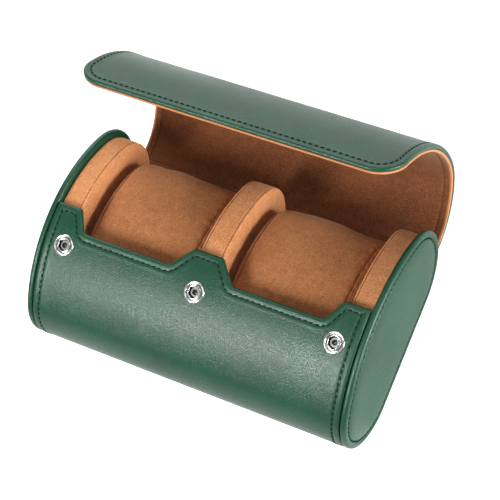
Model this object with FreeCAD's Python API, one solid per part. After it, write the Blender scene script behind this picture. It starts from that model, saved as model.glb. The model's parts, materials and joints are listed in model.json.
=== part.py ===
import FreeCAD, Part
import math
import os

# A two-place roll case: an oval shell of covered board between two padded end caps, with a
# curved lid on a leather hinge along the lower back, three press studs at the front, and two
# loose pillows inside between suede end pads and a centre divider.
# Millimetres. X runs along the case, Y to the back, Z up. The origin is the middle of the flat
# bottom. The lid is modelled open, leaning back until it almost meets the surface below.

# Overall oval section of the case, seen along X
CASE_LENGTH = 175.0
CASE_DEPTH = 109.0
WAIST_HEIGHT = 27.0
CROWN_RISE = 36.5
SHOULDER_RADIUS = 26.0

# Layers of the shell and the lid, from the outside in
COVER_THICKNESS = 1.0
BOARD_THICKNESS = 1.3
LINING_THICKNESS = 0.8
EDGE_TURN = 1.0
LINING_MARGIN = 0.5

# Front edge of the shell: tabs that carry the snaps, with lower stretches between them
TAB_REACH_DEG = 3.4
RECESS_REACH_DEG = 5.8
CENTRE_TAB_TOP = 15.4
CENTRE_TAB_FOOT = 33.4
SIDE_TAB_TOP = 13.3
SIDE_TAB_FOOT = 19.4
RECESS_CORNER_RADIUS = 3.0

# Leather hinge along the lower back
HINGE_ANGLE_DEG = 35.0
HINGE_STRIP_WIDTH = 5.0
HINGE_LID_GAP = 0.1

# Lid
LID_OPEN_DEG = 66.0
LID_END_GAP = 0.4
LID_STANDOFF = 2.0
LID_REACH_DEG = 32.5
LID_CORNER_RADIUS = 14.0

# End caps: a rounded rim, the seam's channel inside it and the domed field
CAP_RIM = 3.5
CAP_BOARD_THICKNESS = 1.5
CAP_EDGE_RADIUS = 1.3
CAP_SEAM_INSET = 3.75
CAP_SEAM_SINK = 0.6
CAP_FIELD_WIDTH = 13.5
CAP_FIELD_RISE = 1.8

# Suede pads inside the caps, and the divider between the two places
PAD_THICKNESS = 11.5
PAD_EDGE_RADIUS = 1.0
PAD_CROWN = 0.8
PAD_CROWN_WIDTH = 14.0
PAD_SEAM_INSET = 2.2
PAD_SEAM_SINK = 0.3
PAD_SEAM_WIDTH = 1.2
SUEDE_THICKNESS = 0.8
DIVIDER_THICKNESS = 13.0
DIVIDER_BOARD_THICKNESS = 2.0
DIVIDER_BOARD_MARGIN = 6.0
SEAT_CLEARANCE = 0.3

# Loose pillows, sized by the gaps that they leave in the case
PILLOW_END_GAP = 2.0
PILLOW_SIDE_GAP = 6.9
PILLOW_CROWN_DROP = 10.0
PILLOW_WAIST_DROP = 1.0
PILLOW_SHOULDER = 18.0
PILLOW_END_DRAW = 5.5
PILLOW_COVER_THICKNESS = 0.9

# Snap fasteners
SNAP_END_DISTANCE = 11.2
SNAP_REACH_DEG = 12.8
SOCKET_RADIUS = 5.25
SOCKET_RISE = 0.7
SOCKET_SEAT_DEPTH = 0.3
SOCKET_DISH_RADIUS = 4.4
SOCKET_DISH_DEPTH = 0.9
SOCKET_BORE_RADIUS = 2.3
SOCKET_WALL = 0.7
RIVET_FLANGE_RADIUS = 4.6
RIVET_FLANGE_THICKNESS = 0.5
RIVET_TUBE_LENGTH = 1.2
RIVET_TUBE_CLEARANCE = 0.1
RIVET_TUBE_WALL = 0.8
STUD_FLANGE_THICKNESS = 0.6
STUD_RADIUS = 1.9
STUD_NECK_RADIUS = 1.5
STUD_NECK_LENGTH = 0.7
STUD_TIP_RADIUS = 0.5
STUD_ENGAGEMENT = 1.0
STUD_POST_RADIUS = 0.9

# Overrun of every cutting tool past the solid that it cuts
OVERRUN = 5.0

# Worked out from the sizes above
WALL = COVER_THICKNESS + BOARD_THICKNESS + LINING_THICKNESS
SHEET = COVER_THICKNESS + BOARD_THICKNESS
HALF_LENGTH = CASE_LENGTH / 2
HALF_DEPTH = CASE_DEPTH / 2
SHELL_HALF = HALF_LENGTH - CAP_RIM
LID_HALF = SHELL_HALF - LID_END_GAP
TAB_REACH = math.radians(TAB_REACH_DEG)
RECESS_REACH = math.radians(RECESS_REACH_DEG)
HINGE_ANGLE = math.radians(HINGE_ANGLE_DEG)
LID_REACH = math.radians(LID_REACH_DEG)
SNAP_REACH = math.radians(SNAP_REACH_DEG)
SNAP_SPACING = SHELL_HALF - SNAP_END_DISTANCE
PAD_DEPTH = WALL + SEAT_CLEARANCE
PLACE_LENGTH = SHELL_HALF - PAD_THICKNESS - DIVIDER_THICKNESS / 2
PILLOW_LENGTH = PLACE_LENGTH - 2 * PILLOW_END_GAP
PILLOW_HALF_DEPTH = HALF_DEPTH - WALL - PILLOW_SIDE_GAP
PILLOW_WAIST = WAIST_HEIGHT - PAD_DEPTH - PILLOW_WAIST_DROP
PILLOW_RISE = WAIST_HEIGHT + CROWN_RISE - PILLOW_CROWN_DROP - PAD_DEPTH - PILLOW_WAIST

FRONT = math.pi / 2
BOTTOM = math.pi
BACK = 3 * math.pi / 2
FULL_TURN = 2 * math.pi
EDGE_STEPS = 2

# Field of a cap and face of a pad, from their edge to the middle: how far in and how far up, as
# shares of the crown's width and height
CAP_CROWN_SHARES = ((0.08, 0.33), (0.35, 0.75), (1.0, 1.0))
PAD_CROWN_SHARES = ((0.3, 0.55), (1.0, 1.0))

# Half a pillow, from its middle to its end: places along it, as shares of half its length, and
# how far the section is drawn in there, as shares of the draw at the seam
PILLOW_CROWN_SHARES = (
    (0.0, 0.0), (0.5, 0.05), (0.74, 0.22), (0.87, 0.6), (0.935, 0.95), (0.98, 1.45), (1.0, 2.2))
FILLING_CROWN_SHARES = PILLOW_CROWN_SHARES[::3]


def crown_radius(half_depth, rise, shoulder):
    """Radius of the top arc that runs tangent into two shoulder arcs at the waist."""
    reach = half_depth - shoulder
    return (reach ** 2 + rise ** 2 - shoulder ** 2) / (2 * (rise - shoulder))


CROWN_RADIUS = crown_radius(HALF_DEPTH, CROWN_RISE, SHOULDER_RADIUS)
CROWN_CENTRE_Z = WAIST_HEIGHT + CROWN_RISE - CROWN_RADIUS


# An arc is (centre y, centre z, radius, start, end). Its angles are measured from straight up,
# turning to the front, so that a quarter turn is the front and a half turn is the bottom.


def on_arc(arc, angle, depth=0.0):
    """The point of an arc at an angle, sunk by a depth below its surface."""
    y, z, radius = arc[:3]
    reach = radius - depth
    return FreeCAD.Vector(0, y - reach * math.sin(angle), z + reach * math.cos(angle))


def oval(half_depth, waist, rise, shoulder, base=0.0):
    """The tangent arcs of an oval section with a flat bottom, from the top round the front."""
    radius = crown_radius(half_depth, rise, shoulder)
    blend = math.atan2(half_depth - shoulder, radius - rise)
    height = base + waist
    crown = height + rise - radius
    return [
        (0.0, crown, radius, -blend, blend),
        (shoulder - half_depth, height, shoulder, blend, FRONT),
        (waist - half_depth, height, waist, FRONT, BOTTOM),
        (half_depth - waist, height, waist, BOTTOM, BACK),
        (half_depth - shoulder, height, shoulder, BACK, FULL_TURN - blend),
    ]


def run(arcs, depth):
    """The edges along a run of arcs at a depth, with straight edges where arcs stand apart."""
    edges = []
    last = None
    for arc in arcs:
        start, end = arc[3:]
        first = on_arc(arc, start, depth)
        if last is not None and (first - last).Length > Part.Precision.confusion():
            edges.append(Part.LineSegment(last, first).toShape())
        middle = on_arc(arc, (start + end) / 2, depth)
        last = on_arc(arc, end, depth)
        edges.append(Part.Arc(first, middle, last).toShape())
    return edges


def closed_outline(arcs, depth):
    """The closed wire of an oval section at a depth."""
    return Part.Wire(run(arcs, depth))


def slab(arcs, depth, start, thickness):
    """A flat plate of the oval section between two planes across X."""
    face = Part.Face(closed_outline(arcs, depth))
    face.translate(FreeCAD.Vector(start, 0, 0))
    return face.extrude(FreeCAD.Vector(thickness, 0, 0))


def ringed(arcs, rings):
    """A solid through oval rings, each given as (x, inset from the section)."""
    wires = []
    for x, inset in rings:
        wire = closed_outline(arcs, inset)
        wire.translate(FreeCAD.Vector(x, 0, 0))
        wires.append(wire)
    return Part.makeLoft(wires, True, True)


def edge_rings(x, inset, radius, way):
    """Rings round an edge, a quarter turn from a face at x to the wall at an inset; the wall
    runs from the face in the given way along X."""
    angles = [FRONT * step / EDGE_STEPS for step in range(EDGE_STEPS + 1)]
    return [(x + way * radius * (1 - math.cos(a)), inset + radius * (1 - math.sin(a))) for a in angles]


def shortened(arcs, start, end):
    """The same run of arcs, shorter by a length at its start and by a length at its end."""
    first = arcs[0]
    arcs = [(first[0], first[1], first[2], first[3] + start / first[2], first[4])] + arcs[1:]
    final = arcs[-1]
    return arcs[:-1] + [(final[0], final[1], final[2], final[3], final[4] - end / final[2])]


def band(arcs, outer, inner, half_width):
    """A curved sheet between two depths below the surface of a run of arcs."""
    outside = run(arcs, outer)
    inside = run(arcs, inner)
    start = Part.LineSegment(on_arc(arcs[0], arcs[0][3], inner), on_arc(arcs[0], arcs[0][3], outer))
    end = Part.LineSegment(on_arc(arcs[-1], arcs[-1][4], outer), on_arc(arcs[-1], arcs[-1][4], inner))
    wire = Part.Wire(Part.__sortEdges__(outside + [end.toShape()] + inside + [start.toShape()]))
    face = Part.Face(wire)
    face.translate(FreeCAD.Vector(-half_width, 0, 0))
    return face.extrude(FreeCAD.Vector(2 * half_width, 0, 0))


CASE_ARCS = oval(HALF_DEPTH, WAIST_HEIGHT, CROWN_RISE, SHOULDER_RADIUS)
CROWN_ARC = CASE_ARCS[0]
LOWER_BACK_ARC = CASE_ARCS[3]
HINGE_HALF = HINGE_STRIP_WIDTH / 2 / (WAIST_HEIGHT - COVER_THICKNESS / 2)


def shell_arcs():
    """The run of the shell: from the tab tops round the front and the bottom to the hinge."""
    arcs = list(CASE_ARCS[:4])
    arcs[0] = CROWN_ARC[:3] + (-TAB_REACH, CROWN_ARC[4])
    arcs[3] = LOWER_BACK_ARC[:3] + (BOTTOM, BOTTOM + HINGE_ANGLE - HINGE_HALF)
    return arcs


def lid_arcs():
    """The run of the closed lid: up the back in line with the shell, then over the top, where
    it rises clear of the shell's front by the standoff and the wall."""
    radius = CROWN_RADIUS + LID_STANDOFF + WALL
    drop = WAIST_HEIGHT - CROWN_CENTRE_Z
    shoulder = (radius ** 2 - HALF_DEPTH ** 2 - drop ** 2) / (2 * (radius - HALF_DEPTH))
    centre = HALF_DEPTH - shoulder
    blend = math.atan2(centre, drop)
    return [
        LOWER_BACK_ARC[:3] + (BOTTOM + HINGE_ANGLE + HINGE_HALF, BACK),
        (centre, WAIST_HEIGHT, shoulder, BACK, FULL_TURN - blend),
        (0.0, CROWN_CENTRE_Z, radius, FULL_TURN - blend, FULL_TURN + LID_REACH),
    ]


def hinge_point():
    """A point on the hinge line, in the middle of the leather."""
    return on_arc(LOWER_BACK_ARC, BOTTOM + HINGE_ANGLE, COVER_THICKNESS / 2)


def opened(shape):
    """A piece of the closed lid, turned back about the hinge line."""
    shape.rotate(hinge_point(), FreeCAD.Vector(1, 0, 0), -LID_OPEN_DEG)
    return shape


def recess(grow):
    """The two low stretches of the shell's front edge, as upright tools. A positive growth
    widens them, for a layer that stops short of the cover's edge."""
    low = -CROWN_RADIUS * math.sin(RECESS_REACH) - grow
    high = CROWN_RADIUS * math.sin(TAB_REACH)
    rise = high - low
    inner_low = CENTRE_TAB_FOOT / 2 - grow
    inner_slope = (CENTRE_TAB_FOOT - CENTRE_TAB_TOP) / 2 / rise
    outer_low = SHELL_HALF - SIDE_TAB_FOOT + grow
    outer_slope = (SIDE_TAB_FOOT - SIDE_TAB_TOP) / rise
    top = high + OVERRUN
    inner_top = inner_low - inner_slope * (top - low)
    outer_top = outer_low + outer_slope * (top - low)
    base = CROWN_CENTRE_Z + CROWN_RADIUS * math.cos(RECESS_REACH) - WALL - OVERRUN
    corners = [(inner_low, low), (outer_low, low), (outer_top, top), (inner_top, top)]
    points = [FreeCAD.Vector(x, y, base) for x, y in corners]
    face = Part.Face(Part.makePolygon(points + points[:1]))
    tool = face.extrude(FreeCAD.Vector(0, 0, WALL + 2 * OVERRUN))
    low_edges = [e for e in tool.Edges if is_upright(e) and e.CenterOfMass.y < low + grow + EDGE_TURN]
    tool = tool.makeFillet(RECESS_CORNER_RADIUS, low_edges)
    other = tool.mirror(FreeCAD.Vector(0, 0, 0), FreeCAD.Vector(1, 0, 0))
    return [tool, other]


def is_upright(edge):
    """Whether a straight edge runs along Z."""
    ends = edge.Vertexes
    across = FreeCAD.Vector(ends[0].X - ends[-1].X, ends[0].Y - ends[-1].Y, 0)
    return len(ends) == 2 and across.Length < Part.Precision.confusion()


def round_free_corners(sheet, depth, margin):
    """Rounds the two corners at the free edge of a lid sheet that starts at a depth and stops
    a margin inside the lid's outline."""
    radius = LID_CORNER_RADIUS - margin
    arc = lid_arcs()[-1]
    surface = arc[2] - depth
    end = arc[4] - margin / arc[2]
    angle = end - math.asin(radius / surface)
    centre = on_arc(arc, angle, depth)
    block = Part.makeBox(radius + OVERRUN, radius + OVERRUN, 2 * radius)
    round_part = Part.makeCylinder(radius, 2 * radius)
    tool = block.cut(round_part)
    tool.translate(FreeCAD.Vector(0, 0, -radius))
    tool = tool.mirror(FreeCAD.Vector(0, 0, 0), FreeCAD.Vector(0, 1, 0))
    tool.rotate(FreeCAD.Vector(0, 0, 0), FreeCAD.Vector(1, 0, 0), math.degrees(angle))
    tool.translate(FreeCAD.Vector(LID_HALF - margin - radius, centre.y, centre.z))
    other = tool.mirror(FreeCAD.Vector(0, 0, 0), FreeCAD.Vector(1, 0, 0))
    return cut_all(sheet, [tool, other])


def snap_frame(x, height):
    """The placement of a snap part: its axis is square to the shell's surface at a snap."""
    surface = on_arc(CROWN_ARC, SNAP_REACH, -height)
    turn = FreeCAD.Rotation(FreeCAD.Vector(1, 0, 0), SNAP_REACH_DEG)
    return FreeCAD.Placement(FreeCAD.Vector(x, surface.y, surface.z), turn)


def turned(profile):
    """A solid turned about Z from corners given as (radius, height)."""
    points = [FreeCAD.Vector(r, 0, z) for r, z in profile]
    face = Part.Face(Part.makePolygon(points + points[:1]))
    return face.revolve(FreeCAD.Vector(0, 0, 0), FreeCAD.Vector(0, 0, 1), 360)


def three(piece, height):
    """Three copies of a snap part, at the left, centre and right snaps."""
    copies = []
    for x in (-SNAP_SPACING, 0.0, SNAP_SPACING):
        copy = piece.copy()
        copy.Placement = snap_frame(x, height)
        copies.append(copy)
    return copies


def snap_socket():
    """A dished ring on the shell's surface, with a barrel through the cover and the board."""
    barrel = SOCKET_BORE_RADIUS + SOCKET_WALL
    bore_top = SOCKET_RISE - SOCKET_DISH_DEPTH
    edge = (SOCKET_RADIUS + SOCKET_DISH_RADIUS) / 2
    shoulder = SOCKET_RISE - (SOCKET_RADIUS - edge)
    return turned([
        (SOCKET_BORE_RADIUS, -SHEET), (barrel, -SHEET), (barrel, -SOCKET_SEAT_DEPTH),
        (SOCKET_RADIUS, -SOCKET_SEAT_DEPTH), (SOCKET_RADIUS, shoulder), (edge, SOCKET_RISE),
        (SOCKET_DISH_RADIUS, SOCKET_RISE), (SOCKET_BORE_RADIUS, bore_top),
    ])


def socket_rivet():
    """A flanged tube from the inside that clinches the socket's barrel."""
    tube = SOCKET_BORE_RADIUS - RIVET_TUBE_CLEARANCE
    bore = tube - RIVET_TUBE_WALL
    foot = -SHEET - RIVET_FLANGE_THICKNESS
    top = RIVET_TUBE_LENGTH - SHEET
    return turned([(bore, foot), (RIVET_FLANGE_RADIUS, foot), (RIVET_FLANGE_RADIUS, -SHEET),
                   (tube, -SHEET), (tube, top), (bore, top)])


def snap_stud():
    """A flanged stud that stands out of the lid's lining; heights are below the lining."""
    tip = LID_STANDOFF - SOCKET_RISE + STUD_ENGAGEMENT
    neck = STUD_FLANGE_THICKNESS + STUD_NECK_LENGTH
    head = STUD_RADIUS - STUD_TIP_RADIUS
    edge = RIVET_FLANGE_RADIUS - STUD_FLANGE_THICKNESS / 2
    return turned([
        (STUD_POST_RADIUS, LINING_THICKNESS), (STUD_NECK_RADIUS, LINING_THICKNESS), (STUD_NECK_RADIUS, 0),
        (RIVET_FLANGE_RADIUS, 0), (RIVET_FLANGE_RADIUS, -STUD_FLANGE_THICKNESS / 2),
        (edge, -STUD_FLANGE_THICKNESS), (STUD_NECK_RADIUS, -STUD_FLANGE_THICKNESS),
        (STUD_NECK_RADIUS, -neck), (STUD_RADIUS, -neck), (STUD_RADIUS, -tip + STUD_TIP_RADIUS),
        (head, -tip), (0, -tip), (0, STUD_POST_RADIUS - tip), (STUD_POST_RADIUS, STUD_POST_RADIUS - tip),
    ])


def stud_rivet():
    """A capped post from under the lid's cover that clinches the stud."""
    tip = LID_STANDOFF - SOCKET_RISE + STUD_ENGAGEMENT
    base = LINING_THICKNESS + BOARD_THICKNESS
    inside = base - RIVET_FLANGE_THICKNESS
    return turned([(0, base), (RIVET_FLANGE_RADIUS, base), (RIVET_FLANGE_RADIUS, inside),
                   (STUD_POST_RADIUS, inside), (STUD_POST_RADIUS, STUD_POST_RADIUS - tip),
                   (0, STUD_POST_RADIUS - tip)])


def snap_hole():
    """The hole through cover and board for a socket's barrel, and the rivet's seat below."""
    barrel = SOCKET_BORE_RADIUS + SOCKET_WALL
    foot = -SHEET - RIVET_FLANGE_THICKNESS
    return turned([(0, foot), (RIVET_FLANGE_RADIUS, foot), (RIVET_FLANGE_RADIUS, -SHEET),
                   (barrel, -SHEET), (barrel, OVERRUN), (0, OVERRUN)])


def cut_all(shape, tools):
    """A shape with each tool taken out of it."""
    for tool in tools:
        shape = shape.cut(tool)
    return shape


def make_shell(sockets, holes):
    """Cover, board and lining of the shell. The cover turns over the board's edges."""
    whole = shell_arcs()
    core = shortened(whole, EDGE_TURN, EDGE_TURN)
    inside = shortened(whole, LINING_MARGIN, LINING_MARGIN)
    board = band(core, COVER_THICKNESS, SHEET, SHELL_HALF - EDGE_TURN)
    board = cut_all(board, recess(EDGE_TURN))
    cover = band(whole, 0.0, SHEET, SHELL_HALF)
    cover = cut_all(cover, recess(0.0) + [board])
    lining = band(inside, SHEET, WALL, SHELL_HALF - LINING_MARGIN)
    return {
        "shell_cover": cut_all(cover, sockets + holes),
        "shell_board": cut_all(board, holes),
        "shell_lining": cut_all(lining, recess(LINING_MARGIN) + holes),
    }


def make_lid(studs, rivets):
    """Cover, board and lining of the closed lid, with rounded free corners."""
    whole = lid_arcs()
    core = shortened(whole, EDGE_TURN, EDGE_TURN)
    inside = shortened(whole, LINING_MARGIN, LINING_MARGIN)
    board = band(core, COVER_THICKNESS, SHEET, LID_HALF - EDGE_TURN)
    board = round_free_corners(board, COVER_THICKNESS, EDGE_TURN)
    cover = band(whole, 0.0, SHEET, LID_HALF)
    cover = round_free_corners(cover, 0.0, 0.0).cut(board)
    lining = band(inside, SHEET, WALL, LID_HALF - LINING_MARGIN)
    lining = round_free_corners(lining, SHEET, LINING_MARGIN)
    return {
        "lid_cover": cut_all(cover, rivets),
        "lid_board": cut_all(board, studs + rivets),
        "lid_lining": cut_all(lining, studs + rivets),
    }


def make_hinge():
    """The leather and the lining that carry on from the shell to the open lid, bent together
    about one line below the hinge. They stop just short of the lid."""
    bend = math.radians(LID_OPEN_DEG) / 2 - HINGE_HALF
    line = hinge_point()
    start = on_arc(LOWER_BACK_ARC, BOTTOM + HINGE_ANGLE - HINGE_HALF, COVER_THICKNESS / 2)
    across = math.radians(LID_OPEN_DEG) / 2 - HINGE_ANGLE
    half_chord = (line - start).Length * math.cos(bend + HINGE_HALF / 2)
    middle = half_chord / math.sin(bend)
    outer = middle - COVER_THICKNESS / 2
    pieces = {}
    for name, low, high in (
        ("hinge_leather", 0.0, COVER_THICKNESS),
        ("hinge_lining", SHEET, WALL),
    ):
        gap = HINGE_LID_GAP / (outer + low)
        centre = start - middle * FreeCAD.Vector(0, -math.sin(bend - across), math.cos(bend - across))
        bent = [(centre.y, centre.z, outer + high, -bend - across + gap, bend - across)]
        pieces[name] = band(bent, 0.0, high - low, LID_HALF)
    return pieces


def make_cap(side):
    """One end cap: a board plate, a thin padding and the leather drawn over both. The seam that
    holds them together lies in a channel between the rim and the domed field."""
    face = SHELL_HALF + CAP_RIM
    channel = face - CAP_SEAM_SINK
    field = [(channel + up * CAP_FIELD_RISE, CAP_SEAM_INSET + across * CAP_FIELD_WIDTH)
             for across, up in CAP_CROWN_SHARES]
    rim = edge_rings(SHELL_HALF, 0.0, CAP_EDGE_RADIUS, 1)
    rim = rim + edge_rings(face, 0.0, CAP_EDGE_RADIUS, -1)[::-1]
    cover = ringed(CASE_ARCS, rim + [(channel, CAP_SEAM_INSET)] + field)
    board_start = SHELL_HALF + COVER_THICKNESS
    board_end = board_start + CAP_BOARD_THICKNESS
    board = slab(CASE_ARCS, COVER_THICKNESS + CAP_EDGE_RADIUS, board_start, CAP_BOARD_THICKNESS)
    dome = [(x - COVER_THICKNESS, inset) for x, inset in field[1:]]
    padding = ringed(CASE_ARCS, [(board_end, field[0][1])] + dome)
    pieces = {"cap_cover": cover.cut(board).cut(padding), "cap_board": board, "cap_padding": padding}
    return sided(pieces, side)


def sewn_face(x, inset, way):
    """Rings of a pad's sewn face, from its middle over the rounded edge to the far side of the
    seam's channel in the band; the pad lies in the given way along X from the face."""
    edge = inset + PAD_EDGE_RADIUS
    crown = [(x - way * up * PAD_CROWN, edge + across * PAD_CROWN_WIDTH)
             for across, up in PAD_CROWN_SHARES]
    seam = x + way * PAD_SEAM_INSET
    half = way * PAD_SEAM_WIDTH / 2
    channel = [(seam - half, inset), (seam, inset + PAD_SEAM_SINK), (seam + half, inset)]
    return crown[::-1] + edge_rings(x, inset, PAD_EDGE_RADIUS, way) + channel


def make_pad(side):
    """One suede end pad, with its sewn face to the inside of the case, and its foam disc."""
    start = SHELL_HALF - PAD_THICKNESS
    back = edge_rings(SHELL_HALF, PAD_DEPTH, PAD_EDGE_RADIUS, -1)
    pad = ringed(CASE_ARCS, sewn_face(start, PAD_DEPTH, 1) + back[::-1])
    foam = slab(CASE_ARCS, PAD_DEPTH + SUEDE_THICKNESS, start + SUEDE_THICKNESS,
                PAD_THICKNESS - 2 * SUEDE_THICKNESS)
    return sided({"end_pad": pad.cut(foam), "pad_foam": foam}, side)


def sided(pieces, side):
    """Right-hand pieces, or their mirror images for the left, under their own names."""
    named = {}
    for name, shape in pieces.items():
        if side == "left":
            shape = shape.mirror(FreeCAD.Vector(0, 0, 0), FreeCAD.Vector(1, 0, 0))
        named[side + "_" + name] = shape
    return named


def make_divider():
    """The suede divider between the two places, with a stiff board inside."""
    half = DIVIDER_THICKNESS / 2
    rings = sewn_face(-half, PAD_DEPTH, 1) + sewn_face(half, PAD_DEPTH, -1)[::-1]
    divider = ringed(CASE_ARCS, rings)
    board = slab(CASE_ARCS, PAD_DEPTH + DIVIDER_BOARD_MARGIN, -DIVIDER_BOARD_THICKNESS / 2,
                 DIVIDER_BOARD_THICKNESS)
    return {"centre_divider": divider.cut(board), "divider_board": board}


def pillow_solid(x, sink, shares):
    """A pillow, or its filling a sink inside it: an oval roll with a crown along its length,
    drawn in at the seams near both ends, and with domed end discs."""
    arcs = oval(PILLOW_HALF_DEPTH, PILLOW_WAIST, PILLOW_RISE, PILLOW_SHOULDER, PAD_DEPTH)
    half = PILLOW_LENGTH / 2 - sink
    right = [(x + place * half, sink + draw * PILLOW_END_DRAW) for place, draw in shares]
    left = [(x - place * half, sink + draw * PILLOW_END_DRAW) for place, draw in shares[1:]]
    return ringed(arcs, left[::-1] + right)


def make_pillow(side):
    """One pillow: the sewn suede cover and its filling."""
    x = (DIVIDER_THICKNESS + PLACE_LENGTH) / 2
    filling = pillow_solid(x, PILLOW_COVER_THICKNESS, FILLING_CROWN_SHARES)
    cover = pillow_solid(x, 0.0, PILLOW_CROWN_SHARES).cut(filling)
    return sided({"pillow_cover": cover, "pillow_filling": filling}, side)


def make_all():
    """Every piece of the case, by name."""
    lining_height = LID_STANDOFF
    sockets = three(snap_socket(), 0.0)
    socket_rivets = three(socket_rivet(), 0.0)
    studs = three(snap_stud(), lining_height)
    stud_rivets = three(stud_rivet(), lining_height)
    pieces = make_shell(sockets, three(snap_hole(), 0.0))
    pieces.update(make_hinge())
    for side in ("left", "right"):
        pieces.update(make_cap(side))
        pieces.update(make_pad(side))
        pieces.update(make_pillow(side))
    pieces.update(make_divider())
    pieces["snap_sockets"] = Part.makeCompound(sockets)
    pieces["socket_rivets"] = Part.makeCompound(socket_rivets)
    for name, shape in make_lid(studs, stud_rivets).items():
        pieces[name] = opened(shape)
    pieces["snap_studs"] = opened(Part.makeCompound(studs))
    pieces["stud_rivets"] = opened(Part.makeCompound(stud_rivets))
    return pieces


os.makedirs("parts", exist_ok=True)
for name, shape in make_all().items():
    for solid in shape.Solids:
        if not solid.isValid():
            raise ValueError(name + " is not a valid solid")
    shape.exportStep("parts/" + name + ".step")
    box = shape.BoundBox
    print("%-20s solids %d  volume %9.1f  x %7.2f %7.2f  y %7.2f %7.2f  z %7.2f %7.2f" % (
        name, len(shape.Solids), shape.Volume, box.XMin, box.XMax, box.YMin, box.YMax, box.ZMin, box.ZMax))
print("hinge line", hinge_point())
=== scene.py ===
import bpy
import json
import math
import numpy as np
from mathutils import Matrix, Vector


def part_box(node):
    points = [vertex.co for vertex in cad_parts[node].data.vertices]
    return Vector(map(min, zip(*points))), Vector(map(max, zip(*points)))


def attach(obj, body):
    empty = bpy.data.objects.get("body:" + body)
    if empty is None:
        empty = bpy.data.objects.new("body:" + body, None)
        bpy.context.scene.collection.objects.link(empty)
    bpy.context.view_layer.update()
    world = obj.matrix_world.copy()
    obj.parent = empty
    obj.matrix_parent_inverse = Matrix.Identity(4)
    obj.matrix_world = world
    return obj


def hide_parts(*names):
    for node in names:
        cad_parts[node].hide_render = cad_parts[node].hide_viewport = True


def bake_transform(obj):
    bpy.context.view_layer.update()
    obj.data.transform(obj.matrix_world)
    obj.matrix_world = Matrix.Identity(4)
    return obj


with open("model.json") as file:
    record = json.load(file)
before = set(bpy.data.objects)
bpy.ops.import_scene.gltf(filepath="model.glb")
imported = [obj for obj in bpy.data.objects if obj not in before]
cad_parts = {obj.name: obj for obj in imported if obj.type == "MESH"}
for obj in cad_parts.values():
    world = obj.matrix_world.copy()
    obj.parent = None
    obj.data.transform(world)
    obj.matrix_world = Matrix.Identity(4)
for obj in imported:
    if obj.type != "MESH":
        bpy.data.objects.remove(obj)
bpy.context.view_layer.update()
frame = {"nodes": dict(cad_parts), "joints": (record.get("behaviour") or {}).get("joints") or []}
MM = 0.001

# Shell cover: one sheet of bottle-green leather, drawn round a curved board from the tabs at the
# top, down the front and under the bottom to the hinge. Its edges are turned over the board,
# pressed round and stitched down close to the fold.
HALF_DEPTH = -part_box("left_cap_cover")[0].y
WAIST = 27.0 * MM
CROWN_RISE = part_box("left_cap_cover")[1].z - WAIST
SHOULDER = 26.0 * MM
SHELL_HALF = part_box("shell_cover")[1].x
TAB_REACH = math.radians(3.4)
RECESS_REACH = math.radians(5.8)
CENTRE_TAB_TOP = 7.7 * MM
CENTRE_TAB_FOOT = 16.7 * MM
SIDE_TAB_TOP = 13.3 * MM
SIDE_TAB_FOOT = 19.4 * MM
TAB_CORNER = 1.6 * MM
RECESS_CORNER = 3.4 * MM
SQUARE_CORNER = 1.2 * MM
LEAST_CORNER = 0.4 * MM
HINGE_ANGLE = math.radians(35.0)
HINGE_RADIUS = 26.5 * MM
HINGE_HALF = 2.5 * MM / HINGE_RADIUS
SHEET = 2.3 * MM
SEAM_INSET = 3.7 * MM
# Spacing of the mesh: fine as far as the reaches from a sheet's edges and ends, coarse elsewhere
FINE_STEP = 0.28 * MM
COARSE_STEP = 2.0 * MM
LEAST_STEP = 0.015 * MM
EDGE_REACH = 8.0 * MM
END_REACH = 6.0 * MM
# Millimetres from a cut edge over which its paler colour fades
CUT_WIDTH = 1.6


def crown_radius(half_depth, rise, shoulder):
    """Radius of the top arc that runs tangent into two shoulder arcs at the waist. With reach as
    the half depth less the shoulder, it is (reach squared plus rise squared less shoulder
    squared) over twice (rise less shoulder)."""
    reach = half_depth - shoulder
    return (reach**2 + rise**2 - shoulder**2) / (2 * (rise - shoulder))


CROWN = crown_radius(HALF_DEPTH, CROWN_RISE, SHOULDER)
CROWN_Z = WAIST + CROWN_RISE - CROWN


def oval(half_depth, waist, rise, shoulder, base=0.0):
    """The arcs (centre y, centre z, radius, start, end) of a closed oval section with a flat
    bottom. Angles run from straight up, over the front. The crown meets a shoulder at the angle
    whose tangent is the shoulder centre's distance from the middle over its height above the
    crown's centre."""
    radius = crown_radius(half_depth, rise, shoulder)
    blend = math.atan2(half_depth - shoulder, radius - rise)
    z = base + waist
    return [
        (0.0, z + rise - radius, radius, 0.0, blend),
        (shoulder - half_depth, z, shoulder, blend, math.pi / 2),
        (waist - half_depth, z, waist, math.pi / 2, math.pi),
        (half_depth - waist, z, waist, math.pi, 1.5 * math.pi),
        (half_depth - shoulder, z, shoulder, 1.5 * math.pi, 2 * math.pi - blend),
        (0.0, z + rise - radius, radius, 2 * math.pi - blend, 2 * math.pi),
    ]


def arc_point(arc, angle):
    """A point of an arc: its centre plus its radius towards (-sin, cos) of the angle."""
    return np.array([arc[0] - arc[2] * math.sin(angle), arc[1] + arc[2] * math.cos(angle)])


def run_length(arcs):
    """Length of a run of arcs, radius times angle each, with straight stretches between those
    that stand apart."""
    bent = sum(arc[2] * (arc[4] - arc[3]) for arc in arcs)
    pairs = zip(arcs[:-1], arcs[1:])
    straight = sum(np.linalg.norm(arc_point(b, b[3]) - arc_point(a, a[4])) for a, b in pairs)
    return bent + straight


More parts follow.
